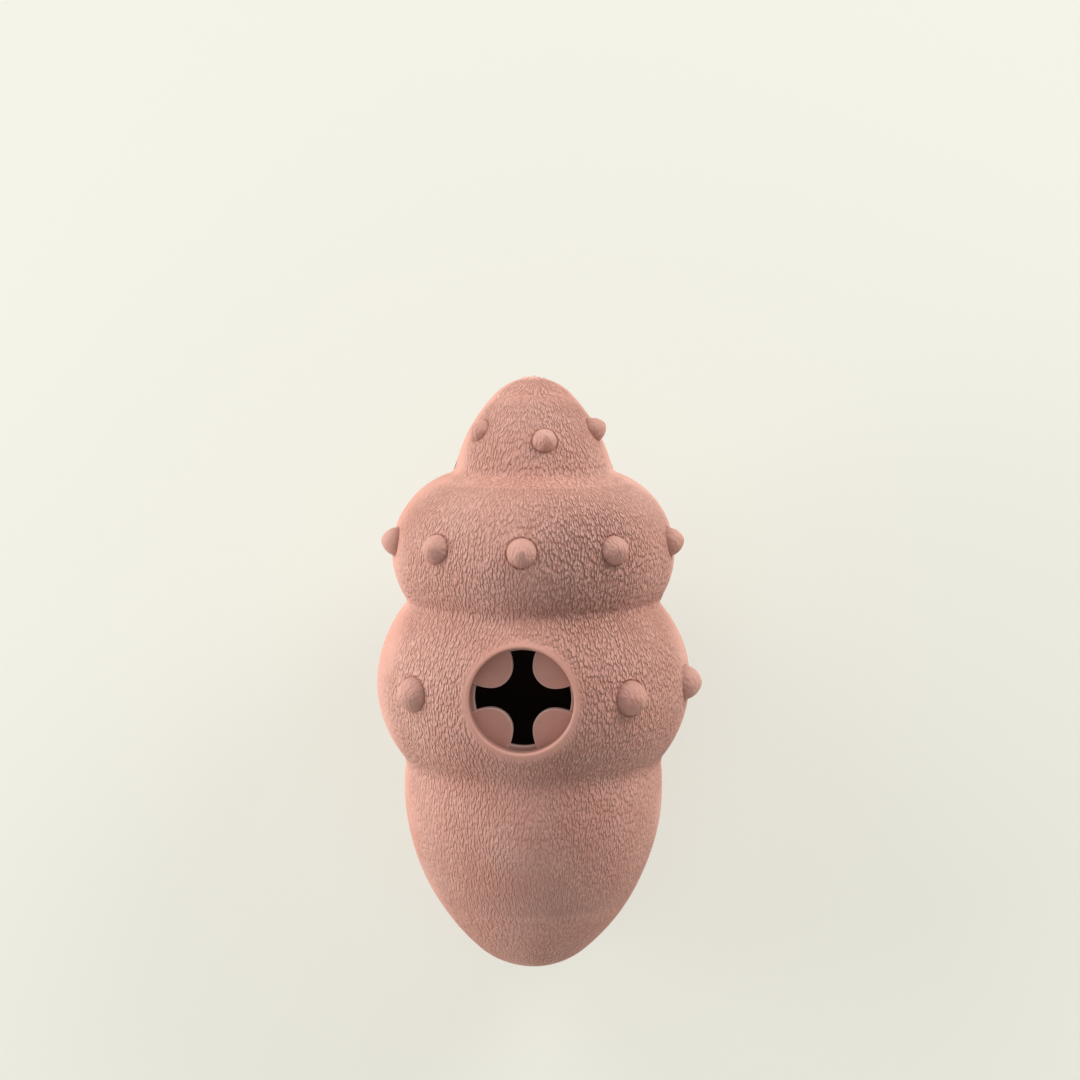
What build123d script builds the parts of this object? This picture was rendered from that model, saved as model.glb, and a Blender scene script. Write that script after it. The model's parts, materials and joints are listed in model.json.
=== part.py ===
from build123d import *
import os
from math import asin, cos, degrees, radians, sin, sqrt

# A hollow rubber chew toy, in millimetres, lying as it rests on a floor: on two nubs of its back and the
# flank of its cup, with its mouth up. +Z is up, +Y runs from the cup to the peak, and the origin is under
# the middle of the toy. Levels are measured up the toy's stem from the widest line of the cup.

# Body: the half width of each bulging form, the radius of its side, and how far its widest line lies above
# the one below
cup_radius = 31.0
cup_bulge = 53.0
cup_round = 20.0
lower_tier_radius = 37.4
lower_tier_bulge = 28.2
lower_tier_rise = 25.3
upper_tier_radius = 33.6
upper_tier_bulge = 19.8
upper_tier_rise = 31.0
peak_radius = 19.6
peak_bulge = 37.3
peak_rise = 11.5
peak_round = 12.4
cup_crease = 4.0
waist_crease = 1.8
shoulder_crease = 4.0
wall = 7.0

# Nubs: the radius of their rounded ends, how far they stand out, how far each ring lies above the widest
# line of its form, and where they stand round the stem. Zero degrees is the mouth's side, and angles grow
# towards +X. The peak's front nub stands lower than its others. The toy lies on the two rest nubs.
peak_nub_radius = 2.9
peak_nub_height = 2.9
peak_front_rise = 15.9
peak_front_angles = [14]
peak_side_rise = 17.9
peak_side_angles = [77, 130, 180, 230, 307]
upper_nub_radius = 3.4
upper_nub_height = 3.4
upper_nub_rise = 3.3
upper_nub_angles = [0, 38, 80, 120, 150, 180, 216, 252, 288, 323]
lower_nub_radius = 4.1
lower_nub_height = 3.7
lower_nub_rise = 1.0
rest_nub_angle = 160
lower_nub_angles = [41, 80, 120, rest_nub_angle, 360 - rest_nub_angle, 255, 317]

# Mouth: a round bore down to a web, which is cut into four round lobes with a cross between them. Each lobe
# is centred inside the mouth's wall, and its flap bends at a hinge line inside that centre.
mouth_radius = 11.8
mouth_lip = 1.0
web_thickness = 2.2
web_rim = 1.5
web_ledge = 0.8
pocket_margin = 0.6
lobe_set_in = 1.6
cross_gap = 4.5
hinge_set_in = 1.8
flap_edge_round = 0.4
flap_angles = {"upper_right": 45, "upper_left": 135, "lower_left": 225, "lower_right": 315}
hinge_clearance = 0.3
overrun = 20.0

# Levels up the stem, with the mouth in the ring of the lower nubs, and reaches out from it: the web's top
# goes on from the inside of the wall. A flap's reaches are taken from the middle of the mouth.
lower_tier_level = lower_tier_rise
upper_tier_level = lower_tier_level + upper_tier_rise
peak_level = upper_tier_level + peak_rise
peak_front_level = peak_level + peak_front_rise
peak_side_level = peak_level + peak_side_rise
upper_nub_level = upper_tier_level + upper_nub_rise
lower_nub_level = lower_tier_level + lower_nub_rise
mouth_level = lower_nub_level
web_reach = lower_tier_radius - wall
flap_centre_reach = mouth_radius - lobe_set_in
flap_hinge_reach = flap_centre_reach - hinge_set_in
flap_radius = flap_centre_reach * sin(radians(flap_angles["upper_right"])) - cross_gap / 2
flap_half_width = sqrt(flap_radius**2 - hinge_set_in**2)
knuckle_radius = web_thickness / 2


def skin_point(radius, bulge, form_level, level):
    """Distance of a bulging form's skin from the stem at a level, and its slope there in degrees."""
    slope = asin((level - form_level) / bulge)
    return radius - bulge + bulge * cos(slope), degrees(slope)


def end_centre(radius, bulge, end_round):
    """How far beyond a pointed form's widest line its rounded end is centred."""
    return sqrt((bulge - end_round) ** 2 - (bulge - radius) ** 2)


# Lean of the stem at rest, which lets the cup's flank and the two rest nubs touch the floor together.
# Each reach is how far that form reaches below the stem at the widest line of the cup.
rest_skin, rest_slope = skin_point(lower_tier_radius, lower_tier_bulge, lower_tier_level, lower_nub_level)
rest_depth = lower_nub_radius - lower_nub_height
rest_nub_out = (rest_skin - rest_depth * cos(radians(rest_slope))) * -cos(radians(rest_nub_angle))
rest_nub_up = lower_nub_level - rest_depth * sin(radians(rest_slope))


def cup_reach(lean):
    """Reach of the cup's flank."""
    return cup_bulge - (cup_bulge - cup_radius) * cos(lean)


def nub_reach(lean):
    """Reach of the rest nubs' rounded ends."""
    return rest_nub_out * cos(lean) - rest_nub_up * sin(lean) + lower_nub_radius


lean = 0.0
lean_step = radians(32)
while lean_step > radians(0.0001):
    if nub_reach(lean + lean_step) > cup_reach(lean + lean_step):
        lean += lean_step
    lean_step /= 2

# The stem's own plane: x to the right, z up the stem, and the mouth on its -y side
top_end = (peak_level + end_centre(peak_radius, peak_bulge, peak_round)) * cos(lean) + peak_round
cup_end = end_centre(cup_radius, cup_bulge, cup_round) * cos(lean) + cup_round
stem = Plane(
    origin=(0, (cup_end - top_end) / 2, cup_reach(lean)),
    x_dir=(1, 0, 0),
    z_dir=(0, cos(lean), sin(lean)),
)
section_plane = Plane(stem.origin, x_dir=stem.x_dir, z_dir=-stem.y_dir)
front_turn = Axis(stem.origin, -stem.z_dir)
back_turn = Axis(stem.origin, stem.z_dir)
mouth = Plane(stem.location * Pos(0, 0, mouth_level) * Rot(90, 0, 0))


def arch(radius, bulge, end_round, end):
    """A form pointed at both ends, between two round sides, with its top (-1) or bottom (0) end rounded."""
    with BuildSketch() as pointed:
        with Locations((radius - bulge, 0)):
            Circle(bulge)
        with Locations((bulge - radius, 0)):
            Circle(bulge, mode=Mode.INTERSECT)
        fillet(pointed.vertices().sort_by(Axis.Y)[end], end_round)
    return pointed.sketch


# Where the rounding of the waist is centred, one waist crease off both tiers' sides
lower_offset = lower_tier_radius - lower_tier_bulge
upper_offset = upper_tier_radius - upper_tier_bulge
offset_step = upper_offset - lower_offset
tier_gap = sqrt(offset_step**2 + upper_tier_rise**2)
waist_lower_reach = lower_tier_bulge + waist_crease
waist_upper_reach = upper_tier_bulge + waist_crease
waist_along = (tier_gap**2 + waist_lower_reach**2 - waist_upper_reach**2) / (2 * tier_gap)
waist_across = sqrt(waist_lower_reach**2 - waist_along**2)
waist_centre = lower_offset + (waist_along * offset_step + waist_across * upper_tier_rise) / tier_gap
waist_level = lower_tier_level + (waist_along * upper_tier_rise - waist_across * offset_step) / tier_gap


def tiers(inset):
    """Section of the cup and the two tiers, without the peak, with every side drawn in by the inset."""
    core_height = upper_tier_rise + upper_tier_bulge - inset
    with BuildSketch() as forms:
        add(arch(cup_radius - inset, cup_bulge - inset, cup_round - inset, 0))
        for side in (-1, 1):
            with Locations((side * lower_offset, lower_tier_level)):
                Circle(lower_tier_bulge - inset)
            with Locations((side * upper_offset, upper_tier_level)):
                Circle(upper_tier_bulge - inset)
        with Locations((0, lower_tier_level)):
            Rectangle(2 * upper_offset, core_height, align=(Align.CENTER, Align.MIN))
        for side in (-1, 1):
            lower_centre = (side * lower_offset, lower_tier_level)
            upper_centre = (side * upper_offset, upper_tier_level)
            with BuildLine():
                Polyline(lower_centre, (side * waist_centre, waist_level), upper_centre, close=True)
            make_face()
        with Locations((waist_centre, waist_level), (-waist_centre, waist_level)):
            Circle(waist_crease + inset, mode=Mode.SUBTRACT)
        fillet(forms.vertices().group_by(Axis.Y)[1], cup_crease + inset)
    return forms.sketch


def body():
    """Section of the whole body, with the peak set into the upper tier."""
    with BuildSketch() as forms:
        add(tiers(0))
        tier_top = forms.vertices().sort_by(Axis.Y)[-1].Y
        with Locations((0, peak_level)):
            add(arch(peak_radius, peak_bulge, peak_round, -1))
        shoulder = forms.vertices().filter_by_position(Axis.Y, upper_tier_level, tier_top)
        fillet(shoulder, shoulder_crease)
    return forms.sketch


def nub(radius, height):
    """A nub's rounded end, standing out of the XY plane."""
    with BuildPart() as bump:
        with Locations((0, 0, height - radius)):
            Sphere(radius)
    return bump.part


# Every nub of the three rings, with its angle and its place, square to the skin
peak_nub = nub(peak_nub_radius, peak_nub_height)
upper_nub = nub(upper_nub_radius, upper_nub_height)
lower_nub = nub(lower_nub_radius, lower_nub_height)
peak_form = (peak_radius, peak_bulge, peak_level)
upper_form = (upper_tier_radius, upper_tier_bulge, upper_tier_level)
lower_form = (lower_tier_radius, lower_tier_bulge, lower_tier_level)
nubs = []
for bump, form, level, angles in (
    (peak_nub, peak_form, peak_front_level, peak_front_angles),
    (peak_nub, peak_form, peak_side_level, peak_side_angles),
    (upper_nub, upper_form, upper_nub_level, upper_nub_angles),
    (lower_nub, lower_form, lower_nub_level, lower_nub_angles),
):
    skin, slope = skin_point(*form, level)
    for angle in angles:
        place = stem.location * Rot(0, 0, angle) * Pos(0, -skin, level) * Rot(90 - slope, 0, 0)
        nubs.append((bump, angle, place))


def on_front(angle):
    """Whether an angle round the stem is on the mouth's half."""
    return cos(radians(angle)) > 0


# The wall's section, which both half shells turn about the stem
with BuildSketch() as half_section:
    add(body())
    add(tiers(wall), mode=Mode.SUBTRACT)
    split(bisect_by=Plane.YZ)
with BuildSketch(section_plane) as wall_section:
    add(half_section.sketch)

# The flaps' planes: x runs out from the middle of the mouth, at the middle of the web's thickness
web_middle = mouth.offset(web_reach - web_thickness / 2)
flap_planes = {name: Plane(web_middle.location * Rot(0, 0, angle)) for name, angle in flap_angles.items()}


def hinge_plane(flap_plane):
    """The plane across a flap's hinge line, through its middle."""
    middle = flap_plane.from_local_coords((flap_hinge_reach, 0, 0))
    return Plane(middle, x_dir=flap_plane.x_dir, z_dir=flap_plane.y_dir)


# A flap's fixed root: the part of its lobe between the hinge line and the mouth's wall
with BuildSketch() as root:
    with Locations((flap_centre_reach, 0)):
        Circle(flap_radius)
    with Locations((flap_hinge_reach, 0)):
        Rectangle(overrun, overrun, align=(Align.MIN, Align.CENTER), mode=Mode.INTERSECT)

# Front half shell, with the mouth
with BuildPart() as front_shell:
    revolve(wall_section.sketch, axis=front_turn, revolution_arc=180)
    with BuildSketch(mouth):
        Circle(mouth_radius)
    extrude(amount=web_reach + overrun, mode=Mode.SUBTRACT)
    bore = front_shell.faces().filter_by(GeomType.CYLINDER)[0]
    fillet(bore.edges().sort_by(Axis(mouth.origin, mouth.z_dir))[-1], mouth_lip)
    for bump, angle, place in nubs:
        if on_front(angle):
            with Locations(place):
                add(bump)
    with BuildSketch(mouth.offset(web_reach - web_thickness)):
        Circle(mouth_radius + web_rim)
    extrude(amount=web_thickness)
    with BuildSketch(mouth.offset(web_reach - web_thickness)):
        Circle(mouth_radius + pocket_margin)
    extrude(amount=-overrun, mode=Mode.SUBTRACT)
    with BuildSketch(mouth.offset(web_reach)):
        Circle(mouth_radius - web_ledge)
        with PolarLocations(0, len(flap_angles), start_angle=flap_angles["upper_right"]):
            add(root.sketch, mode=Mode.SUBTRACT)
    extrude(amount=-web_thickness, mode=Mode.SUBTRACT)
    for flap_plane in flap_planes.values():
        with BuildSketch(hinge_plane(flap_plane)):
            Circle(knuckle_radius + hinge_clearance)
        extrude(amount=flap_half_width + hinge_clearance, both=True, mode=Mode.SUBTRACT)

# Back half shell
with BuildPart() as back_shell:
    revolve(wall_section.sketch, axis=back_turn, revolution_arc=180)
    for bump, angle, place in nubs:
        if not on_front(angle):
            with Locations(place):
                add(bump)

os.makedirs("parts", exist_ok=True)
front_shell.part.label = "front_shell"
export_step(front_shell.part, "parts/front_shell.step")
back_shell.part.label = "back_shell"
export_step(back_shell.part, "parts/back_shell.step")

# Flaps: a lobe inside the hinge line, with a round knuckle along that line
for name, flap_plane in flap_planes.items():
    with BuildPart() as flap:
        with BuildSketch(flap_plane):
            with Locations((flap_centre_reach, 0)):
                Circle(flap_radius)
            with Locations((flap_hinge_reach, 0)):
                Rectangle(overrun, overrun, align=(Align.MAX, Align.CENTER), mode=Mode.INTERSECT)
        extrude(amount=knuckle_radius, both=True)
        rim = flap.edges().filter_by(GeomType.CIRCLE).group_by(SortBy.LENGTH)[-1]
        fillet(rim, flap_edge_round)
        with BuildSketch(hinge_plane(flap_plane)):
            Circle(knuckle_radius)
        extrude(amount=flap_half_width, both=True)
    flap.part.label = f"flap_{name}"
    export_step(flap.part, f"parts/flap_{name}.step")
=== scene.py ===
import json
import bmesh
import bpy
import numpy as np
from mathutils import Matrix, Vector


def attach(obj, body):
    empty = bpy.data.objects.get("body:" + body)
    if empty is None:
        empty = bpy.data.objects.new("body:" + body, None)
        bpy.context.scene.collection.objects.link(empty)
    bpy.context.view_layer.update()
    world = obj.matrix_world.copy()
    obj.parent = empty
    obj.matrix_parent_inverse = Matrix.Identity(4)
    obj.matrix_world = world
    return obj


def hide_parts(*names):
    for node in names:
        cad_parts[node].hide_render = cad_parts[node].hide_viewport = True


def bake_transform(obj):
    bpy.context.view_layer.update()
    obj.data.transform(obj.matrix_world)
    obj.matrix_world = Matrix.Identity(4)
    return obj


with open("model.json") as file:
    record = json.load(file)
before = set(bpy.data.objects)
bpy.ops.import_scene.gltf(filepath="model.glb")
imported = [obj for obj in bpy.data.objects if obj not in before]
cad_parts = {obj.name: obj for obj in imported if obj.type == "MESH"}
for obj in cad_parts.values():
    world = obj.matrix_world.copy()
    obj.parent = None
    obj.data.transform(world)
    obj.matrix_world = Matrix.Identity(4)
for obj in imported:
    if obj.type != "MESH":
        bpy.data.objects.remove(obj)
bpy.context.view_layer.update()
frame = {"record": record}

mm = 0.001

# The toy's own axes, from the record's mounts: right, up the stem, and out of the mouth
mounts = {mount["name"]: mount for mount in frame["record"]["mounts"]}
toyUp = np.array(mounts["waist_groove"]["axis"])
toyOut = np.array(mounts["mouth"]["axis"])
toyRight = np.cross(toyUp, toyOut)
toyAxes = np.array([toyRight, toyUp, toyOut])
cupGrooveLevel = 5.5  # millimetres up the stem
toyFoot = np.array(mounts["cup_groove"]["pos_m"]) - cupGrooveLevel * mm * toyUp


# Toy millimetres to the frame's metres: the foot of the stem plus a step along each of the toy's axes
def toFrame(points):
    return toyFoot + mm * np.asarray(points, float) @ toyAxes


# The body, from the cup's end to the tip: half width, radius of the side, rounded end, level of the widest line.
# Steps, columns and rows set how fine its mesh is.
body = {
    "cup": {"radius": 31.0, "bulge": 53.0, "round": 20.0, "level": 0.0},
    "lowerTier": {"radius": 37.4, "bulge": 28.2, "level": 25.3},
    "upperTier": {"radius": 33.6, "bulge": 19.8, "level": 56.3},
    "peak": {"radius": 19.6, "bulge": 37.3, "round": 12.4, "level": 67.8},
    "cupCrease": 4.0,
    "waistCrease": 1.8,
    "shoulderCrease": 2.4,
    "wall": 7.0,
    "arcSteps": 60,
    "topSteps": 20,
    "columns": 180,
    "rows": 280,
    "sharpAngle": 60,
}

# What the mould leaves on the skin, in millimetres: a bead on the parting line, slow waves that fade towards the two
# ends (sines that turn so often round the stem and climb at these rates), and the torn gate with its ripples
moulding = {
    "seamHeight": 0.11,
    "seamWidth": 0.45,
    "waveHeight": 0.07,
    "waveTurns": (3, 5),
    "waveClimbs": (0.09, 0.21, -0.17),
    "waveStart": 1.3,
    "waveShare": 0.6,
    "waveNear": 3.6,
    "waveFar": 15.6,
    "tearReach": 2.6,
    "tearHeight": 0.42,
    "tearRates": (2.6, 2.2),
    "tearStarts": (0.8, 1.9),
    "tearTone": 0.3,
}


# Circles of the half section, drawn in by the inset: distance from the stem, level, radius
def bodyCircles(inset):
    forms = [body[name] for name in ("cup", "lowerTier", "upperTier", "peak")]
    sides = [(form["radius"] - form["bulge"], form["level"], form["bulge"] - inset) for form in forms]
    ends = []
    for form in (forms[0], forms[-1]):
        reach = np.sqrt((form["bulge"] - form["round"]) ** 2 - (form["bulge"] - form["radius"]) ** 2)
        ends.append((reach, form["round"] - inset))
    cupEnd = (0.0, -ends[0][0], ends[0][1])
    peakEnd = (0.0, forms[-1]["level"] + ends[1][0], ends[1][1])
    return [cupEnd, *sides, peakEnd]


# The half section walked up from the cup's end, as distance from the stem, level, outward direction and length so
# far. Each circle is followed until the next one touches it from inside, or until the crease's own small circle,
# whose centre is one crease radius off both, touches it.
def walkSection(circles, creases):
    arcs = []
    begin = -np.pi / 2
    for here, there, crease in zip(circles[:-1], circles[1:], creases):
        hereAt, thereAt = np.array(here[:2]), np.array(there[:2])
        gap = thereAt - hereAt
        if crease == 0:
            line = gap if there[2] < here[2] else -gap
            turn = np.arctan2(line[1], line[0])
            arcs.append((hereAt, here[2], begin, turn, 1))
            begin = turn
            continue
        far, hereReach, thereReach = np.hypot(*gap), here[2] + crease, there[2] + crease
        along = (far**2 + hereReach**2 - thereReach**2) / (2 * far)
        across = np.sqrt(hereReach**2 - along**2)
        centre = hereAt + (along * gap + across * np.array([gap[1], -gap[0]])) / far
        touch, leave = centre - hereAt, centre - thereAt
        arcs.append((hereAt, here[2], begin, np.arctan2(touch[1], touch[0]), 1))
        foldTurns = [np.arctan2(-line[1], -line[0]) % (2 * np.pi) for line in (touch, leave)]
        arcs.append((centre, crease, *foldTurns, -1))
        begin = np.arctan2(leave[1], leave[0])
    arcs.append((np.array(circles[-1][:2]), circles[-1][2], begin, np.pi / 2, 1))
    pieces = []
    for centre, radius, first, last, side in arcs:
        turns = np.linspace(first, last, body["arcSteps"])
        ray = np.stack([np.cos(turns), np.sin(turns)], -1)
        pieces.append(np.hstack([centre + radius * ray, side * ray]))
    return measured(np.vstack(pieces))


# Adds the length walked so far as a last column
def measured(walk):
    steps = np.hypot(*np.diff(walk[:, :2], axis=0).T)
    return np.column_stack([walk, np.append(0, np.cumsum(steps))])


creases = [0, body["cupCrease"], body["waistCrease"], body["shoulderCrease"], 0]
outerWalk = walkSection(bodyCircles(0), creases)
# The hollow ends in a flat top at the upper tier, so the peak's circles are left off
innerCreases = [crease + body["wall"] * (crease > 0) for crease in creases[:3]]
innerWalk = walkSection(bodyCircles(body["wall"])[:4], innerCreases)
flatTop = np.linspace(innerWalk[-1, :2], [0, innerWalk[-1, 1]], body["topSteps"])[1:]
flatTop = np.hstack([flatTop, np.tile([0, 1], (len(flatTop), 1))])
innerWalk = measured(np.vstack([innerWalk[:, :4], flatTop]))


# A point of a walk turned about the stem: distance times the ray at that angle, plus the level up the stem
def turned(walk, around, along):
    distance, level, normalOut, normalUp = (np.interp(along, walk[:, 4], walk[:, k]) for k in range(4))
    ray = np.stack([np.sin(around), 0 * around, np.cos(around)], -1)
    up = np.array([0, 1, 0])
    point = distance[..., None] * ray + level[..., None] * up
    normal = normalOut[..., None] * ray + normalUp[..., None] * up
    return point, normal


# Length along the outer walk at a level, and distance from the stem there
def atLevel(level):
    place = np.interp(level, outerWalk[:, 1], outerWalk[:, 4])
    return place, np.interp(place, outerWalk[:, 4], outerWalk[:, 0])


# Angle from the nearest parting line, which runs up both sides of the toy
def seamAngle(around):
    wrapped = (around + np.pi) % (2 * np.pi) - np.pi
    return np.abs(np.pi / 2 - np.abs(wrapped))


# How far a point lies in the torn gate at the tip: a flat-topped bell of its distance from the stem
def tornShare(distance, level):
    return np.exp(-((distance / moulding["tearReach"]) ** 4)) * (level > 0)


# The outer skin: the turned section, raised by a low bead on the parting line (a bell of the distance from it),
# slow waves of the mould (products of sines of angle and level) and the torn gate at the tip
def outerSkin(around, along):
    point, normal = turned(outerWalk, around, along)
    side, level, out = np.moveaxis(point, -1, 0)
    distance = np.hypot(side, out)
    seam = np.exp(-((distance * seamAngle(around) / moulding["seamWidth"]) ** 2))
    turns, climbs = moulding["waveTurns"], moulding["waveClimbs"]
    waves = np.sin(turns[0] * around + climbs[0] * level) * np.sin(climbs[1] * level + moulding["waveStart"])
    waves = waves + moulding["waveShare"] * np.sin(turns[1] * around + climbs[2] * level)
    waves = waves * np.clip((distance - moulding["waveNear"]) / (moulding["waveFar"] - moulding["waveNear"]), 0, 1)
    rates, starts = moulding["tearRates"], moulding["tearStarts"]
    ripple = 0.5 + np.sin(rates[0] * side + starts[0]) * np.sin(rates[1] * out + starts[1])
    tear = tornShare(distance, level) * ripple
    height = moulding["seamHeight"] * seam + moulding["waveHeight"] * waves + moulding["tearHeight"] * tear
    return point + height[..., None] * normal


# Rises from 0 to 1 between two values: three squares less two cubes of the share of the way
def smoothStep(low, high, value):
    t = np.clip((value - low) / (high - low), 0, 1)
    return t * t * (3 - 2 * t)


# Four corners of every cell of a grid of vertex numbers
def gridFaces(index, keep=None):
    corners = np.stack([index[:-1, :-1], index[:-1, 1:], index[1:, 1:], index[1:, :-1]], -1)
    return corners.reshape(-1, 4) if keep is None else corners[keep]


# Faces between a row of vertices and one with half as many steps: a triangle and a quad for each coarse step
def halvingFaces(many, few):
    triangles = np.stack([many[:-1:2], many[1::2], few[:-1]], -1)
    quads = np.stack([many[1::2], many[2::2], few[1:], few[:-1]], -1)
    return triangles, quads


# Collects grids of points and numbers their vertices. Each point also has the angle round the stem and the length
# along the half section that its grain is laid by, its share of grain, its share of a lighter tone (the torn gate's
# own tone, and painted highlight on edges), and its share of painted shade.
class Patchwork:
    def __init__(self):
        self.points, self.marks, self.faces, self.count = [], [], [], 0

    # One grid, which leaves out the cells that keep says no to
    def add(self, points, around=0.0, along=0.0, grain=0.0, tornAndHighlight=0.0, inside=0.0, keep=None):
        shape = points.shape[:-1]
        index = self.count + np.arange(points[..., 0].size).reshape(shape)
        marks = [np.broadcast_to(mark, shape).reshape(-1) for mark in (around, along, grain, tornAndHighlight, inside)]
        self.points.append(points.reshape(-1, 3))
        self.marks.append(np.stack(marks, -1))
        self.count += index.size
        self.faces += gridFaces(index, keep).tolist()
        return index

    # Rings, closed on themselves by repeating their first point
    def addRings(self, points, *marks):
        return self.add(*[np.concatenate([values, values[:, :1]], 1) for values in (points, *marks)])

    # The strip between two rows that are already in
    def join(self, many, few):
        for faces in halvingFaces(many, few):
            self.faces += faces.tolist()


mergeReach = 0.002 * mm  # points nearer than this become one


# Makes a closed mesh of a patchwork: shared edges and poles are merged, and faces turned outwards
def makePiece(name, patches, material, sharpAngle):
    points, marks = np.vstack(patches.points), np.vstack(patches.marks)
    mesh = bpy.data.meshes.new(name)
    mesh.from_pydata(toFrame(points).tolist(), [], patches.faces)
    girth = np.hypot(points[:, 0], points[:, 2])
    floats = {"grain": marks[:, 2], "tornAndHighlight": marks[:, 3], "inside": marks[:, 4], "girth": girth}
    for label, values in floats.items():
        mesh.attributes.new(label, "FLOAT", "POINT").data.foreach_set("value", values.astype(np.float32))
    lay = np.stack([np.sin(marks[:, 0]), np.cos(marks[:, 0]), marks[:, 1]], -1)
    mesh.attributes.new("lay", "FLOAT_VECTOR", "POINT").data.foreach_set("vector", lay.astype(np.float32).ravel())
    work = bmesh.new()
    work.from_mesh(mesh)
    bmesh.ops.remove_doubles(work, verts=work.verts, dist=mergeReach)
    bmesh.ops.recalc_face_normals(work, faces=work.faces)
    openEdges = sum(len(edge.link_faces) != 2 for edge in work.edges)
    work.to_mesh(mesh)
    work.free()
    mesh.polygons.foreach_set("use_smooth", np.ones(len(mesh.polygons), bool))
    mesh.set_sharp_from_angle(angle=np.radians(sharpAngle))
    mesh.materials.append(material)
    piece = bpy.data.objects.new(name, mesh)
    bpy.context.scene.collection.objects.link(piece)
    print(name, len(mesh.polygons), "faces,", openEdges, "open edges")
    return piece


# An sRGB hex value as linear colour
def hexColor(code):
    srgb = np.array([int(code[k : k + 2], 16) for k in (1, 3, 5)]) / 255
    linear = np.where(srgb <= 0.04045, srgb / 12.92, ((srgb + 0.055) / 1.055) ** 2.4)
    return (*linear.tolist(), 1.0)


# Adds a node, with its own settings, and inputs that are either values or sockets to link
def addNode(tree, kind, settings=None, inputs=None):
    node = tree.nodes.new(kind)
    for name, value in (settings or {}).items():
        setattr(node, name, value)
    for name, value in (inputs or {}).items():
        if isinstance(value, bpy.types.NodeSocket):
            tree.links.new(value, node.inputs[name])
        else:
            node.inputs[name].default_value = value
    return node


# Natural rubber, press moulded in an etched tool: dusty salmon, matt, with a leather-like grain whose ridges run
# along the stem. The ridges, girths, blotches and specks are in millimetres. Bend, ridgeSpan and speckDot are counted
# in cells of their pattern, and the other spans in shares.
shellRubber = {
    "base": "#DDA08F",
    # painted shade in the valleys of the grain
    "crease": "#9F6755",
    "pale": "#EAB3A3",
    # the torn gate's own lighter tone, and painted highlight on the flaps' edges and the ledge's edge
    "tornAndHighlight": "#F2DDD4",
    # painted shade: the tone of the unlit hollow, and of the shade down the bore and at the nubs' feet
    "hollow": "#7A5C54",
    "dust": "#F3DDD2",
    "soot": "#6B4A42",
    "ridgeWidth": 0.58,
    "ridgeLength": 1.3,
    "ridgeDepth": 0.5,
    "ridgeScatter": 0.9,
    "ridgeSpan": (0.8, 0.28),
    "bend": (0.55, 0.55, 0.35),
    "bendScale": 0.6,
    "girths": (7.0, 17.0, 34.0),
    "girthChanges": ((8.0, 12.0), (23.0, 24.5)),
    # strength and sharpness of the painted shade in the grain's valleys
    "creaseShade": 0.42,
    "creaseShadePower": 4.0,
    "blotch": 17.0,
    "blotchSpan": (0.35, 0.7),
    "speck": 0.5,
    "speckSpread": 0.4,
    "speckDot": (0.22, 0.1),
    "speckChoice": {"dust": (3.0, 0.905, 0.935), "soot": (11.0, 0.93, 0.96)},
    "gritShare": 0.3,
    "gritSpan": (0.3, 0.7),
    "roughness": 0.62,
    "roughnessSpan": (-0.08, 0.1),
    "ior": 1.52,
    "specular": 0.35,
}
# The same rubber where the tool was polished: the flaps come out smooth, and their tones are painted a little darker,
# as shade for their place down in the mouth
flapRubber = {
    **shellRubber,
    "base": "#CC9486",
    "pale": "#D5A193",
    "dust": "#BC8A7D",
    "roughness": 0.52,
}


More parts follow.
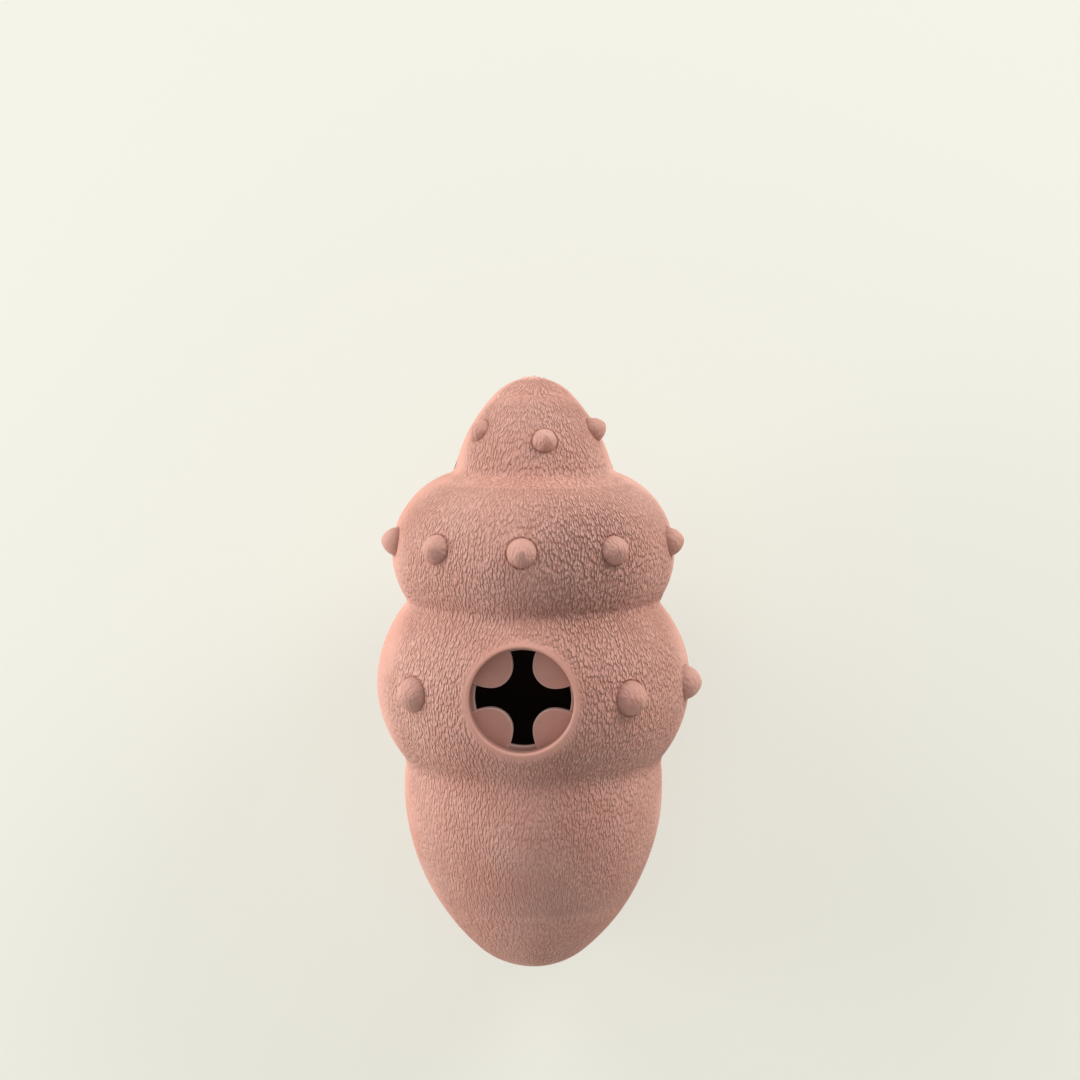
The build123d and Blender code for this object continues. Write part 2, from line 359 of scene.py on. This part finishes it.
# Moulded rubber: bump from the ridges of the grain, colour laid in thin layers, and a gloss that follows the grit
def mouldedRubber(name, look):
    material = bpy.data.materials.new(name)
    material.use_nodes = True
    tree = material.node_tree
    tree.nodes.clear()
    eased = {"interpolation_type": "SMOOTHSTEP"}
    place = addNode(tree, "ShaderNodeTexCoord").outputs["Object"]
    lay = addNode(tree, "ShaderNodeAttribute", {"attribute_name": "lay"}).outputs["Vector"]
    grain, tornAndHighlight, inside, girth = (
        addNode(tree, "ShaderNodeAttribute", {"attribute_name": label}).outputs["Fac"]
        for label in ("grain", "tornAndHighlight", "inside", "girth")
    )

    # Ridges are long cells that run up the half section, each highest in its middle. They are laid out on a narrow,
    # a middle and a wide cylinder, so that their width stays near its written size at the tip and on the peak too.
    heights = []
    for radius in look["girths"]:
        across = radius / look["ridgeWidth"]
        scale = (across, across, 1 / look["ridgeLength"])
        cells = addNode(tree, "ShaderNodeVectorMath", {"operation": "MULTIPLY"}, {0: lay, 1: scale}).outputs["Vector"]
        slow = {"Vector": cells, "Scale": look["bendScale"], "Detail": 0.0}
        drift = {0: addNode(tree, "ShaderNodeTexNoise", None, slow).outputs["Color"], 1: look["bend"], 2: cells}
        bent = addNode(tree, "ShaderNodeVectorMath", {"operation": "MULTIPLY_ADD"}, drift).outputs["Vector"]
        pebbles = {"Vector": bent, "Scale": 1.0, "Randomness": look["ridgeScatter"]}
        fromMiddle = addNode(tree, "ShaderNodeTexVoronoi", None, pebbles).outputs["Distance"]
        span = {"Value": fromMiddle, "From Min": look["ridgeSpan"][0], "From Max": look["ridgeSpan"][1]}
        heights.append(addNode(tree, "ShaderNodeMapRange", eased, span).outputs["Result"])
    ridge = heights[0]
    for height, (near, far) in zip(heights[1:], look["girthChanges"]):
        span = {"Value": girth, "From Min": near, "From Max": far}
        wide = addNode(tree, "ShaderNodeMapRange", eased, span).outputs["Result"]
        ridge = addNode(tree, "ShaderNodeMix", None, {0: wide, 2: ridge, 3: height}).outputs[0]
    grit = {"Vector": place, "Scale": 1 / (look["speck"] * mm), "Detail": 2.0, "Roughness": 0.55}
    fine = addNode(tree, "ShaderNodeTexNoise", None, grit).outputs["Fac"]
    gritty = {0: fine, 1: look["gritShare"], 2: ridge}
    relief = addNode(tree, "ShaderNodeMath", {"operation": "MULTIPLY_ADD"}, gritty).outputs["Value"]
    shown = addNode(tree, "ShaderNodeMath", {"operation": "MULTIPLY"}, {0: relief, 1: grain}).outputs["Value"]
    raised = {"Strength": 1.0, "Distance": look["ridgeDepth"] * mm, "Height": shown}
    bump = addNode(tree, "ShaderNodeBump", None, raised).outputs["Normal"]

    # Colour: slow blotches, painted shade in the grain's creases, sparse pale dust and dark specks, then painted
    # shade in the hollow, down the bore and at the nubs' feet, and a lighter tone for the torn gate and as painted
    # highlight on edges
    slow = {"Vector": place, "Scale": 1 / (look["blotch"] * mm), "Detail": 4.0, "Roughness": 0.6}
    blotch = addNode(tree, "ShaderNodeTexNoise", None, slow).outputs["Fac"]
    span = {"Value": blotch, "From Min": look["blotchSpan"][0], "From Max": look["blotchSpan"][1]}
    layers = [("pale", addNode(tree, "ShaderNodeMapRange", None, span).outputs["Result"])]
    # Painted shade in the grain's valleys: darker the lower the ridge, scaled by the share of grain and by its own
    # strength
    low = addNode(tree, "ShaderNodeMath", {"operation": "SUBTRACT"}, {0: 1.0, 1: ridge}).outputs["Value"]
    deep = {0: low, 1: look["creaseShadePower"]}
    paintedCreaseShade = addNode(tree, "ShaderNodeMath", {"operation": "POWER"}, deep).outputs["Value"]
    for share in (grain, look["creaseShade"]):
        paintedCreaseShade = addNode(tree, "ShaderNodeMath", {"operation": "MULTIPLY"}, {0: paintedCreaseShade, 1: share}).outputs["Value"]
    layers.append(("crease", paintedCreaseShade))
    for tone, (shift, least, full) in look["speckChoice"].items():
        grid = {"Vector": place, "Location": (shift, 0, shift), "Scale": (look["speck"] * mm,) * 3}
        spot = addNode(tree, "ShaderNodeMapping", {"vector_type": "TEXTURE"}, grid).outputs["Vector"]
        spread = {"Vector": spot, "Scale": look["speckSpread"]}
        dots = addNode(tree, "ShaderNodeTexVoronoi", None, spread).outputs
        parts = []
        for value, (near, far) in ((dots["Color"], (least, full)), (dots["Distance"], look["speckDot"])):
            span = {"Value": value, "From Min": near, "From Max": far}
            parts.append(addNode(tree, "ShaderNodeMapRange", eased, span).outputs["Result"])
        both = dict(enumerate(parts))
        layers.append((tone, addNode(tree, "ShaderNodeMath", {"operation": "MULTIPLY"}, both).outputs["Value"]))
    color = hexColor(look["base"])
    for tone, share in (*layers, ("hollow", inside), ("tornAndHighlight", tornAndHighlight)):
        mixed = {0: share, 6: color, 7: hexColor(look[tone])}
        color = addNode(tree, "ShaderNodeMix", {"data_type": "RGBA"}, mixed).outputs[2]
    smoothest, roughest = (look["roughness"] + step for step in look["roughnessSpan"])
    span = {"From Min": look["gritSpan"][0], "From Max": look["gritSpan"][1], "To Min": smoothest, "To Max": roughest}
    rough = addNode(tree, "ShaderNodeMapRange", None, {"Value": fine, **span}).outputs["Result"]
    finish = {
        "Base Color": color,
        "Roughness": rough,
        "Normal": bump,
        "IOR": look["ior"],
        "Specular IOR Level": look["specular"],
    }
    shader = addNode(tree, "ShaderNodeBsdfPrincipled", None, finish).outputs["BSDF"]
    addNode(tree, "ShaderNodeOutputMaterial", None, {"Surface": shader})
    return material


shellMaterial = mouldedRubber("pressMouldedNaturalRubber", shellRubber)
flapMaterial = mouldedRubber("polishedRubberWithPaintedShade", flapRubber)
print("rubber mixed")

# Rings of nubs: base radius, height, level, and where they stand round the stem (0 is the mouth's side)
nubRings = [
    {"radius": 2.85, "height": 2.8, "level": 83.7, "angles": [14]},
    {"radius": 2.85, "height": 3.1, "level": 85.7, "angles": [77, 130, 180, 230]},
    {"radius": 2.75, "height": 2.1, "level": 85.7, "angles": [308]},
    {"radius": 3.35, "height": 3.25, "level": 59.6, "angles": [0, 38, 80, 120, 150, 180, 216, 252, 288, 323]},
    {"radius": 4.0, "height": 3.6, "level": 26.3, "angles": [41, 80, 120, 160, 200, 253, 317]},
]
# How every nub is finished: pointed is 1 for a ball's top and 2 for a cone's, steep the same for its sides, a small
# moat runs round its foot, and painted shade darkens it more at the foot than at the top. Ease and climb (in degrees)
# set its rings outside and on the dome.
nubForm = {
    "pointed": 1.3,
    "steep": 1.0,
    "margin": 1.1,
    "moatWidth": 0.2,
    "moatDepth": 0.1,
    "moatStep": 0.1,
    "footShade": 0.4,
    "topShade": 0.1,
    "ease": [0, 0.3, 0.6, 0.82, 1.0],
    "climb": [0, 6, 14, 23, 33, 43, 53, 63, 73, 82, 90],
}

# The mouth: bore, lip, web and pocket, in millimetres from the middle of the mouth or, for webReach, the stem. Foot
# lists points of the round at the foot of the bore, as steps in and up. The lighter-tone list (a painted highlight on
# the ledge's rounded edge) and the painted-shade list (darker down the lip and bore, and full under the ledge and in
# the hollow) have one share for each ring: seven of the lip, three of the bore, six of the web and its ledge, and the
# hollow's rim.
mouth = {
    "level": 26.3,
    "radius": 11.8,
    "lipOut": 1.1,
    "lipDown": 1.1,
    "webReach": 30.4,
    "webThickness": 2.2,
    "ledge": 0.8,
    "ledgeDrop": 0.35,
    "pocketRadius": 12.4,
    "foot": [(0.0, 0.3), (0.08, 0.1), (0.28, 0.0)],
    "ledgeRound": 0.2,
    "patchAngle": 28,
    "patchRise": 16.6,
    "ease": [0, 0.2, 0.4, 0.6, 0.75, 0.88, 1.0],
    "lipSteps": 8,
    "boreSteps": [0.3, 0.6, 1.0],
    "tornAndHighlight": [0] * 12 + [0.1, 0.5, 0, 0, 0],
    "inside": [0, 0, 0.05, 0.12, 0.2, 0.3, 0.4, 0.55, 0.7, 0.8, 0.8, 0.7, 0.5, 0.2, 1, 1, 1],
}

# How the grain fades: towards the parting lines (degrees, turned a little from them, wandering by sines of the level,
# each with its size, rate and start), and over millimetres at the nubs, the lip, the cup and the two ends of the
# stem. It is deeper right of the middle, over a span of the sine of the angle, by the extra listed for each level.
grainFade = {
    "seamNear": 7,
    "seamFar": 28,
    "seamShare": 0.14,
    "turn": 9,
    "wander": ((4, 0.31, 0), (3, 0.13, 1)),
    "nub": 0.3,
    "onNub": 0.28,
    "lip": 2.2,
    "lipIn": 0.2,
    "cupShare": 0.62,
    "cupTop": 14,
    "rightSpan": (-0.1, 0.4, 0.6, 0.9),
    "rightLevels": [12, 24, 40, 46, 66, 72],
    "rightExtra": [0.4, 0.15, 0.15, 0.75, 0.75, 0],
    "endNear": 1.2,
    "endFar": 4.5,
}


# Share of grain on the skin: full in the middle of each half, little along the parting lines, less on the cup, and
# none at the two ends, where the ridges would meet in a point. The etching is deeper right of the middle.
def grainShare(around, along):
    distance, level = (np.interp(along, outerWalk[:, 4], outerWalk[:, k]) for k in range(2))
    wander = sum(size * np.sin(rate * level + start) for size, rate, start in grainFade["wander"])
    fromSeam = np.degrees(seamAngle(around - np.radians(grainFade["turn"])))
    seam = smoothStep(grainFade["seamNear"], grainFade["seamFar"], fromSeam + wander)
    seam = grainFade["seamShare"] + (1 - grainFade["seamShare"]) * seam
    cup = grainFade["cupShare"] + (1 - grainFade["cupShare"]) * smoothStep(0, grainFade["cupTop"], level)
    end = smoothStep(grainFade["endNear"], grainFade["endFar"], distance)
    begin, full, ebb, gone = grainFade["rightSpan"]
    right = smoothStep(begin, full, np.sin(around)) * (1 - smoothStep(ebb, gone, np.sin(around)))
    deeper = 1 + right * np.interp(level, grainFade["rightLevels"], grainFade["rightExtra"])
    return seam * cup * end * deeper


# Vertex places round a rectangle of grid cells, as one closed ring
def rimOf(values, hole):
    row0, row1, col0, col1 = hole
    return np.concatenate(
        [values[row0, col0:col1], values[row0:row1, col1], values[row1, col1:col0:-1], values[row1:row0:-1, col0]]
    )


# A nub: rings that ease from the cut rectangle to the moat, then a dome whose radius is the cosine of the climb to
# one power and whose height is its sine to another. Height is added along the skin's direction under the nub.
def nubPatch(patches, around, along, hole, nub, angle):
    place, distance = atLevel(nub["level"])
    across = (rimOf(around, hole) - angle) * distance
    rise = rimOf(along, hole) - place
    turn = np.arctan2(rise, across)
    ease = np.array(nubForm["ease"])[:, None]
    climb = np.radians(nubForm["climb"])[:, None]
    foot = nub["radius"] + nubForm["moatWidth"]
    moat = foot - nubForm["moatStep"]
    reach = np.vstack([[[moat]], nub["radius"] * np.cos(climb) ** nubForm["pointed"]])
    dome = (nub["height"] + nubForm["moatDepth"]) * np.sin(climb) ** nubForm["steep"] - nubForm["moatDepth"]
    height = np.vstack([0 * ease, [[-0.5 * nubForm["moatDepth"]]], dome])
    x = np.vstack([(1 - ease) * across + ease * foot * np.cos(turn), reach * np.cos(turn)])
    y = np.vstack([(1 - ease) * rise + ease * foot * np.sin(turn), reach * np.sin(turn)])
    ringAround, ringAlong = angle + x / distance, place + y
    point = outerSkin(ringAround, ringAlong)
    middle = turned(outerWalk, np.array(angle), np.array(place))[1]
    fade = smoothStep(moat, foot + grainFade["nub"], np.hypot(x, y))
    share = grainShare(ringAround, ringAlong) * (grainFade["onNub"] + (1 - grainFade["onNub"]) * fade)
    climbed = np.vstack([0 * ease, [[0]], np.sin(climb)])
    # Painted shade: darkest at the nub's foot, fading towards its top
    nubShade = (1 - fade) * (nubForm["footShade"] + (nubForm["topShade"] - nubForm["footShade"]) * climbed)
    points = point + height[..., None] * middle
    patches.addRings(points, ringAround, ringAlong, share, 0 * nubShade, nubShade)


# The mouth: rings that ease from the cut rectangle to the lip, a lip rounded by a quadratic curve between skin and
# bore, the bore, the ledge of the web, and the pocket under it
def mouthPatch(patches, around, along, hole):
    rim = turned(outerWalk, rimOf(around, hole), rimOf(along, hole))[0]
    across, rise = rim[:, 0], rim[:, 1] - mouth["level"]
    turn = np.arctan2(rise, across)

    def onSkin(x, y):
        place, distance = atLevel(mouth["level"] + y)
        angle = np.arcsin(x / distance)
        return outerSkin(angle, place), angle, place

    def ring(radius, out):
        level = mouth["level"] + radius * np.sin(turn)
        return np.stack([radius * np.cos(turn), level, np.broadcast_to(out, turn.shape)], -1)

    ease = np.array(mouth["ease"])[:, None]
    lipRadius = mouth["radius"] + mouth["lipOut"]
    x = (1 - ease) * across + ease * lipRadius * np.cos(turn)
    y = (1 - ease) * rise + ease * lipRadius * np.sin(turn)
    skin, angle, place = onSkin(x, y)
    lipFade = smoothStep(lipRadius - grainFade["lipIn"], lipRadius + grainFade["lip"], np.hypot(x, y))
    grain = grainShare(angle, place) * lipFade
    edge = onSkin(mouth["radius"] * np.cos(turn), mouth["radius"] * np.sin(turn))[0]
    wallTop = edge - [0, 0, mouth["lipDown"]]
    bend = np.linspace(0, 1, mouth["lipSteps"])[1:, None, None]
    lip = (1 - bend) ** 2 * skin[-1] + 2 * bend * (1 - bend) * edge + bend**2 * wallTop
    web = mouth["webReach"] - mouth["ledgeDrop"]
    below = mouth["webReach"] - mouth["webThickness"]
    drop = np.array(mouth["boreSteps"])[:, None]
    (footIn, footUp), *footPoints = mouth["foot"]
    bore = [ring(mouth["radius"] - footIn, out) for out in (1 - drop) * wallTop[:, 2] + drop * (web + footUp)]
    ledge, ledgeRound = mouth["radius"] - mouth["ledge"], mouth["ledgeRound"]
    step = [ring(mouth["radius"] - inward, web + up) for inward, up in footPoints]
    step += [ring(ledge + ledgeRound, web), ring(ledge, web - ledgeRound), ring(ledge, below)]
    step += [ring(mouth["pocketRadius"], below)]
    hollow = ring(mouth["pocketRadius"], 0.0)
    distance = np.interp(hollow[:, 1], innerWalk[:, 1], innerWalk[:, 0])
    hollow[:, 2] = np.sqrt(distance**2 - hollow[:, 0] ** 2)
    smooth = np.stack([*lip, *bore, *step, hollow])
    marks = [np.vstack([values, np.tile(values[-1], (len(smooth), 1))]) for values in (angle, place, grain)]
    for shares in (mouth["tornAndHighlight"], mouth["inside"]):
        marks.append(np.vstack([0 * angle, np.array(shares)[:, None] + 0 * angle[:1]]))
    return patches.addRings(np.vstack([skin, smooth]), *marks)


# A half shell: outer skin, hollow and the flat parting faces between them, with the nubs and the mouth let in
def halfShell(name, middle, withMouth):
    patches = Patchwork()
    columns, rows = body["columns"], body["rows"]
    sweep = middle + np.linspace(-np.pi / 2, np.pi / 2, columns + 1)
    around, along = np.meshgrid(sweep, np.linspace(0, outerWalk[-1, 4], rows + 1))
    keep = np.ones((rows, columns), bool)
    holes = []
    for nub in nubRings:
        place, distance = atLevel(nub["level"])
        half = nub["radius"] + nubForm["margin"]
        rowStep, colStep = along[1, 0], distance * np.pi / columns
        for degree in nub["angles"]:
            angle = (np.radians(degree) - middle + np.pi) % (2 * np.pi) - np.pi
            if abs(angle) < np.pi / 2:
                column = (angle + np.pi / 2) * distance / colStep
                hole = [
                    int(np.floor((place - half) / rowStep)),
                    int(np.ceil((place + half) / rowStep)),
                    max(int(np.floor(column - half / colStep)), 0),
                    min(int(np.ceil(column + half / colStep)), columns),
                ]
                holes.append((hole, nub, angle + middle))
                keep[hole[0] : hole[1], hole[2] : hole[3]] = False
    if withMouth:
        halfRows = 2 * int(round(mouth["patchRise"] / along[2, 0]))
        halfColumns = 2 * int(round(mouth["patchAngle"] * columns / 360))
        row = int(round(atLevel(mouth["level"])[0] / along[1, 0]))
        mouthHole = [row - halfRows, row + halfRows, columns // 2 - halfColumns, columns // 2 + halfColumns]
        keep[mouthHole[0] : mouthHole[1], mouthHole[2] : mouthHole[3]] = False
    skin = outerSkin(around, along)
    torn = moulding["tearTone"] * tornShare(np.hypot(skin[..., 0], skin[..., 2]), skin[..., 1])
    outer = patches.add(skin, around, along, grainShare(around, along), torn, keep=keep)
    for hole, nub, angle in holes:
        nubPatch(patches, around, along, hole, nub, angle)

    innerAround, innerAlong = np.meshgrid(sweep[::2], np.linspace(0, innerWalk[-1, 4], rows // 2 + 1))
    innerKeep = np.ones((rows // 2, columns // 2), bool)
    if withMouth:
        mouthIndex = mouthPatch(patches, around, along, mouthHole)
        place = np.interp(mouth["level"], innerWalk[:, 1], innerWalk[:, 4])
        row = int(round(place / innerAlong[1, 0]))
        halfRows, halfColumns = (mouthHole[1] - mouthHole[0]) // 4, (mouthHole[3] - mouthHole[2]) // 4
        innerHole = [row - halfRows, row + halfRows, columns // 4 - halfColumns, columns // 4 + halfColumns]
        innerKeep[innerHole[0] : innerHole[1], innerHole[2] : innerHole[3]] = False
    hollow = turned(innerWalk, innerAround, innerAlong)[0]
    # The hollow's skin is painted in full shade
    inner = patches.add(hollow, innerAround, innerAlong, inside=1.0, keep=innerKeep)
    if withMouth:
        innerRim = rimOf(inner, innerHole)
        patches.join(mouthIndex[-1], np.append(innerRim, innerRim[0]))
    for column in (0, -1):
        patches.join(outer[:, column], inner[:, column])
    return makePiece(name, patches, shellMaterial, body["sharpAngle"])


frontShell = halfShell("frontShell", 0.0, True)
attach(frontShell, "shell")
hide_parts("front_shell")
backShell = halfShell("backShell", np.pi, False)
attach(backShell, "shell")
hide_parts("back_shell")
print("shells turned")

# The flaps: lobes left between the arms of a cross cut into the web. A lobe's corner is a circle, and its sides
# flare a little towards the wall. The root is sunk into the wall, and the flap is left flat, without the bend between
# bendOut and bendIn.
# Steps count the points along each stretch of the outline, round the edge and across a face.
flaps = {
    "cornerRadius": 4.96,
    "cornerReach": 10.2,
    "flare": 8.7,
    "rootRadius": 12.3,
    "edgeRound": 0.3,
    "crown": 0.12,
    "edgeHighlight": 0.9,
    "bendOut": 10.3,
    "bendIn": 6.6,
    "sideSteps": 40,
    "cornerSteps": 60,
    "rootSteps": 40,
    "edgeSteps": 13,
    "faceSteps": 10,
    "sharpAngle": 60,
    "sides": {"upper_right": (1, 1), "upper_left": (-1, 1), "lower_left": (-1, -1), "lower_right": (1, -1)},
}


# A lobe's outline in the upper right quarter of the mouth, walked from one arm round the corner to the other and
# back along the wall: half the cross gap from an arm's middle, plus the square of the way past the corner by twice
# the flare
def lobeOutline():
    corner = flaps["cornerReach"] / np.sqrt(2)
    gap = corner - flaps["cornerRadius"]
    way = np.linspace(0, flaps["rootRadius"] - corner, flaps["sideSteps"])
    side = np.stack([gap + way**2 / (2 * flaps["flare"]), corner + way], -1)
    side = side[np.hypot(*side.T) < flaps["rootRadius"]]
    turns = np.linspace(np.pi, 1.5 * np.pi, flaps["cornerSteps"])[1:-1]
    bend = corner + flaps["cornerRadius"] * np.stack([np.cos(turns), np.sin(turns)], -1)
    first, last = np.arctan2(side[-1, 0], side[-1, 1]), np.arctan2(side[-1, 1], side[-1, 0])
    turns = np.linspace(first, last, flaps["rootSteps"])[1:-1]
    root = flaps["rootRadius"] * np.stack([np.cos(turns), np.sin(turns)], -1)
    return np.vstack([side[::-1], bend, side[:, ::-1], root])


# A flap: rings from the middle of its top out to its edge, round the edge, and back to the middle of its underside.
# On the edge a ring is the outline drawn in by a round, on the faces it is that ring shrunk towards the middle.
def flapPiece(name, mirror):
    outline = lobeOutline()
    tangent = np.roll(outline, -1, 0) - np.roll(outline, 1, 0)
    inward = np.stack([-tangent[:, 1], tangent[:, 0]], -1) / np.hypot(*tangent.T)[:, None]
    halfThick, edgeRound = mouth["webThickness"] / 2, flaps["edgeRound"]
    climb = np.linspace(np.pi / 2, -np.pi / 2, flaps["edgeSteps"])
    edge = outline + (edgeRound * (1 - np.cos(climb)))[:, None, None] * inward
    edgeUp = np.sign(climb) * (halfThick - edgeRound) + edgeRound * np.sin(climb)
    middle = outline.mean(0)
    shrink = np.linspace(0, 1, flaps["faceSteps"])[:-1]
    top = middle + shrink[:, None, None] * (edge[0] - middle)
    crown = flaps["crown"] * (1 - shrink**2)
    flat = np.concatenate([top, edge, top[::-1]])
    up = np.concatenate([halfThick + crown, edgeUp, -halfThick - crown[::-1]])
    level = mouth["level"] + mirror[1] * flat[..., 1]
    out = np.broadcast_to((mouth["webReach"] - halfThick + up)[:, None], level.shape)
    rings = np.stack([mirror[0] * flat[..., 0], level, out], -1)
    # Painted highlight along the flap's rounded edge, none on its two faces
    paintedEdgeHighlight = flaps["edgeHighlight"] * np.cos(climb) * (1 + np.abs(np.sin(climb))) / 2
    tornAndHighlight = np.concatenate([0 * shrink, paintedEdgeHighlight, 0 * shrink])
    patches = Patchwork()
    none = np.zeros(level.shape)
    patches.addRings(rings, none, none, none, none + tornAndHighlight[:, None])
    return makePiece(name, patches, flapMaterial, flaps["sharpAngle"])


for side, mirror in flaps["sides"].items():
    flap = flapPiece("flap" + side.title().replace("_", ""), mirror)
    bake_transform(flap)
    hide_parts("flap_" + side)
print("flaps cut")

# A pale floor that keeps the shadow. A camera sees it mostly at its written colour, so lamps need not whiten it, and
# wholly so far from the toy, so that no horizon shows.
stage = {"halfWidth": 1.6, "color": "#F3F2E7", "evenShare": 0.62, "shadowNear": 0.12, "shadowFar": 0.34}


# A share that only camera, glossy and transmission rays see
def pathShare(tree, share):
    path = addNode(tree, "ShaderNodeLightPath").outputs
    seen = path["Is Camera Ray"]
    for ray in ("Is Glossy Ray", "Is Transmission Ray"):
        seen = addNode(tree, "ShaderNodeMath", {"operation": "MAXIMUM"}, {0: seen, 1: path[ray]}).outputs["Value"]
    return addNode(tree, "ShaderNodeMath", {"operation": "MULTIPLY"}, {0: seen, 1: share}).outputs["Value"]


paper = bpy.data.materials.new("paleStudioPaper")
paper.use_nodes = True
paper.node_tree.nodes.clear()
paperTree = paper.node_tree
paperColor = hexColor(stage["color"])
matt = addNode(paperTree, "ShaderNodeBsdfDiffuse", None, {"Color": paperColor}).outputs["BSDF"]
even = addNode(paperTree, "ShaderNodeEmission", None, {"Color": paperColor, "Strength": 1.0}).outputs["Emission"]
floorPlace = addNode(paperTree, "ShaderNodeTexCoord").outputs["Object"]
away = addNode(paperTree, "ShaderNodeVectorMath", {"operation": "LENGTH"}, {0: floorPlace}).outputs["Value"]
paperSpan = {"From Min": stage["shadowNear"], "From Max": stage["shadowFar"], "To Min": stage["evenShare"]}
eased = {"interpolation_type": "SMOOTHSTEP"}
evenShare = addNode(paperTree, "ShaderNodeMapRange", eased, {"Value": away, **paperSpan}).outputs["Result"]
evenSeen = pathShare(paperTree, evenShare)
paperMix = addNode(paperTree, "ShaderNodeMixShader", None, {0: evenSeen, 1: matt, 2: even}).outputs["Shader"]
addNode(paperTree, "ShaderNodeOutputMaterial", None, {"Surface": paperMix})

floorMesh = bpy.data.meshes.new("floor")
corners = stage["halfWidth"] * np.array([[-1, -1, 0], [1, -1, 0], [1, 1, 0], [-1, 1, 0]])
floorMesh.from_pydata(corners.tolist(), [], [[0, 1, 2, 3]])
floorMesh.materials.append(paper)
floor = bpy.data.objects.new("floor", floorMesh)
bpy.context.scene.collection.objects.link(floor)

# Soft light: an even sky and three large lamps, each with its place in metres, its width, and its level, at which
# a white surface that faces it would show as that share of white
sky = {"color": "#FFFFFF", "level": 0.41}
lampAim = (0, 26, 0)  # in toy millimetres
lamps = {
    "leftLamp": {"at": (-0.66, 0.0, 0.2), "width": 0.35, "level": 0.46},
    "peakLeftLamp": {"at": (-0.48, 0.48, 0.3), "width": 0.35, "level": 0.36},
    "peakRightLamp": {"at": (0.48, 0.48, 0.3), "width": 0.35, "level": 0.57},
}

world = bpy.data.worlds.new("evenSky")
bpy.context.scene.world = world
world.use_nodes = True
worldTree = world.node_tree
worldTree.nodes.clear()
light = {"Color": hexColor(sky["color"]), "Strength": sky["level"]}
lit = addNode(worldTree, "ShaderNodeBackground", None, light).outputs["Background"]
light = {"Color": paperColor, "Strength": 1.0}
plain = addNode(worldTree, "ShaderNodeBackground", None, light).outputs["Background"]
plainSeen = pathShare(worldTree, 1.0)
worldMix = addNode(worldTree, "ShaderNodeMixShader", None, {0: plainSeen, 1: lit, 2: plain}).outputs["Shader"]
addNode(worldTree, "ShaderNodeOutputWorld", None, {"Surface": worldMix})

toyMiddle = Vector(toFrame(lampAim))


# Turns an object at a point so that it looks along -Z at another, with its top towards a third direction
def aimed(at, target, top):
    back = (Vector(at) - Vector(target)).normalized()
    right = Vector(top).cross(back).normalized()
    up = back.cross(right)
    turn = Matrix((right, up, back)).transposed()
    return Matrix.Translation(Vector(at)) @ turn.to_4x4()


for name, lamp in lamps.items():
    data = bpy.data.lights.new(name, "AREA")
    data.shape = "DISK"
    data.size = lamp["width"]
    data.energy = lamp["level"] * np.pi**2 * (Vector(lamp["at"]) - toyMiddle).length_squared
    holder = bpy.data.objects.new(name, data)
    holder.matrix_world = aimed(lamp["at"], toyMiddle, (0, 0, 1))
    holder.visible_camera = False
    bpy.context.scene.collection.objects.link(holder)

# The camera: eye and aim in toy millimetres (right of the stem, up the stem, out of the mouth), lens and sensor in
# millimetres, and where its view begins in metres
shot = {"eye": (37.4, 108.5, 473.7), "aim": (1.62, 59.1, 0.0), "lens": 66.67, "sensor": 36.0, "near": 0.01}
cameraData = bpy.data.cameras.new("shot")
cameraData.lens = shot["lens"]
cameraData.sensor_width = shot["sensor"]
cameraData.clip_start = shot["near"]
camera = bpy.data.objects.new("shot", cameraData)
camera.matrix_world = aimed(toFrame(shot["eye"]), toFrame(shot["aim"]), toyUp)
bpy.context.scene.collection.objects.link(camera)
bpy.context.scene.camera = camera
bpy.context.scene.view_settings.view_transform = "Standard"
print("stage lit")
